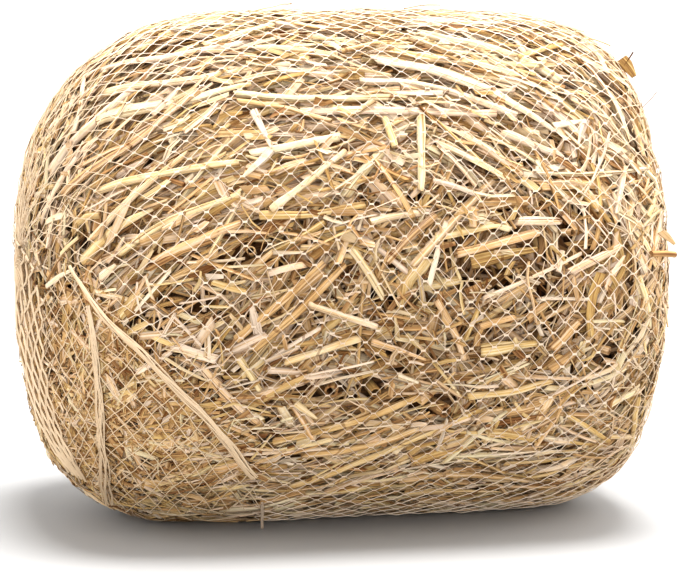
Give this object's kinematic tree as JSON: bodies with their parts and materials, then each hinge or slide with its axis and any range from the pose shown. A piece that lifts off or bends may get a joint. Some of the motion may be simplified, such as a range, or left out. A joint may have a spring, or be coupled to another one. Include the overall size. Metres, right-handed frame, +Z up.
{
  "type": "netted straw bale",
  "caption": "Short pressed roll of loose golden straw lying on its side, held in a sleeve of fine diamond netting that is gathered at both ends.",
  "frame": {"origin": "on the surface that the roll rests on, under its middle", "axes": "+X along the roll, towards the end on the right of the picture; -Y towards the camera of the picture; +Z up"},
  "size_m": [0.2896, 0.2351, 0.2306],
  "materials": {
    "packed_straw": "dry cereal straw, satin along the stem",
    "white_straw": "dry cereal straw, satin along the stem",
    "cream_straw": "dry cereal straw, satin along the stem",
    "pale_straw": "dry cereal straw, satin along the stem",
    "gold_straw": "dry cereal straw, satin along the stem",
    "tan_straw": "dry cereal straw, satin along the stem",
    "net_thread": "fine twisted plastic thread, pinkish white"
  },
  "bodies": {
    "root": {"pressed_straw": "packed_straw", "net": "net_thread", "leaf_blade_01": "cream_straw", "leaf_blade_02": "cream_straw", "stem_01": "cream_straw", "stem_02": "pale_straw", "stem_03": "gold_straw", "leaf_blade_03": "pale_straw", "stem_04": "gold_straw", "leaf_blade_04": "pale_straw", "stem_05": "pale_straw", "stem_06": "gold_straw", "stem_07": "pale_straw", "stem_08": "pale_straw", "leaf_blade_05": "white_straw", "stem_09": "white_straw", "stem_10": "cream_straw", "leaf_blade_06": "white_straw", "leaf_blade_07": "cream_straw", "stem_11": "pale_straw", "stem_12": "gold_straw", "stem_13": "tan_straw", "stem_14": "tan_straw", "leaf_blade_08": "pale_straw", "stem_15": "pale_straw", "stem_16": "gold_straw", "stem_17": "pale_straw", "leaf_blade_09": "pale_straw", "stem_18": "gold_straw", "stem_19": "cream_straw", "stem_20": "cream_straw", "leaf_blade_10": "pale_straw", "stem_21": "gold_straw", "leaf_blade_11": "tan_straw", "stem_22": "tan_straw", "stem_23": "tan_straw", "leaf_blade_12": "pale_straw", "leaf_blade_13": "pale_straw", "stem_24": "gold_straw", "leaf_blade_14": "gold_straw", "stem_25": "cream_straw", "leaf_blade_15": "white_straw"}
  },
  "joints": []
}
